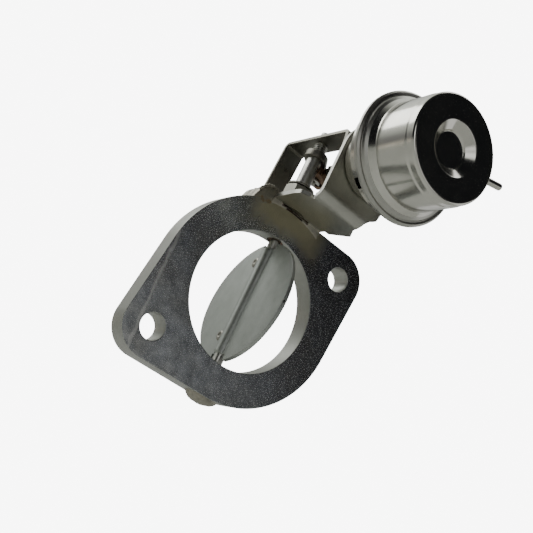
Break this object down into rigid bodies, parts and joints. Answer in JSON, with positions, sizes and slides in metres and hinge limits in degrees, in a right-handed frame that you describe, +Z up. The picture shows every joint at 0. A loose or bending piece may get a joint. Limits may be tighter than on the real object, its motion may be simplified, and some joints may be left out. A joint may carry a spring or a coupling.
{
  "type": "exhaust flap valve",
  "caption": "Exhaust flap valve: a disc flap on a shaft in an oval pipe flange, turned by a vacuum can through a rod and lever.",
  "frame": {"origin": "centre of the gas bore, midway through the flange's thickness, on the flap shaft's axis", "axes": "+Y along the gas bore, from the vacuum can's side to the lever's side; +Z up the flap shaft, towards the lever; +X to the right, towards the rod"},
  "size_m": [0.1012, 0.1123, 0.1542],
  "materials": {
    "machined_steel": "stainless steel, turned and ground",
    "polished_plate": "stainless steel plate, face polished",
    "pressed_sheet": "stainless steel sheet, pressed and bent",
    "weld_metal": "weld bead, mottled and heat tinted",
    "zinc_steel": "steel, zinc plated and passivated",
    "polished_can": "stainless steel, deep drawn and mirror polished",
    "bronze": "sintered bronze",
    "graphite": "pressed graphite",
    "spring_steel": "spring wire, bright drawn",
    "rubber": "fabric backed rubber"
  },
  "bodies": {
    "housing": {"flange_plate": "polished_plate", "upper_bush": "bronze", "lower_bush": "bronze", "end_plug": "weld_metal", "gland_body": "machined_steel", "gland_packing": "graphite", "gland_nut": "machined_steel", "mount_bracket": "pressed_sheet", "bridge_strap": "pressed_sheet", "bracket_welds": "weld_metal", "rear_shell": "polished_can", "front_can": "polished_can", "vacuum_nipple": "zinc_steel", "mounting_studs": "zinc_steel", "spring_washers": "zinc_steel", "mounting_nuts": "zinc_steel", "rod_guide": "bronze", "diaphragm": "rubber", "return_spring": "spring_steel", "shaft_spring": "spring_steel"},
    "flap": {"shaft": "machined_steel", "flap_front_plate": "pressed_sheet", "flap_rear_plate": "pressed_sheet", "flap_rivets": "machined_steel", "thrust_washer": "machined_steel", "spacer_sleeve": "machined_steel", "lever": "zinc_steel", "lever_pin": "machined_steel", "pin_clip": "spring_steel", "shaft_clip": "spring_steel", "hub_pin": "spring_steel"},
    "rod": {"actuator_rod": "zinc_steel", "rod_end": "zinc_steel", "lock_nut": "zinc_steel", "piston_cup": "pressed_sheet", "backing_plate": "pressed_sheet", "piston_nut": "zinc_steel"}
  },
  "joints": [
    {"name": "flap_hinge", "type": "hinge", "parent": "housing", "child": "flap", "pos_m": [0, 0, 0], "axis": [0, 0, 1], "range_deg": [-90, 0], "stiffness_Nm_per_rad": 0.045},
    {"name": "rod_slide", "type": "slide", "parent": "housing", "child": "rod", "axis": [0, 1, 0], "range_m": [-0.0167, 0], "deforming": ["return_spring", "diaphragm"]}
  ],
  "couplings": [
    {"joint": "rod_slide", "follows": "flap_hinge", "m_per_rad": 0.010624}
  ]
}
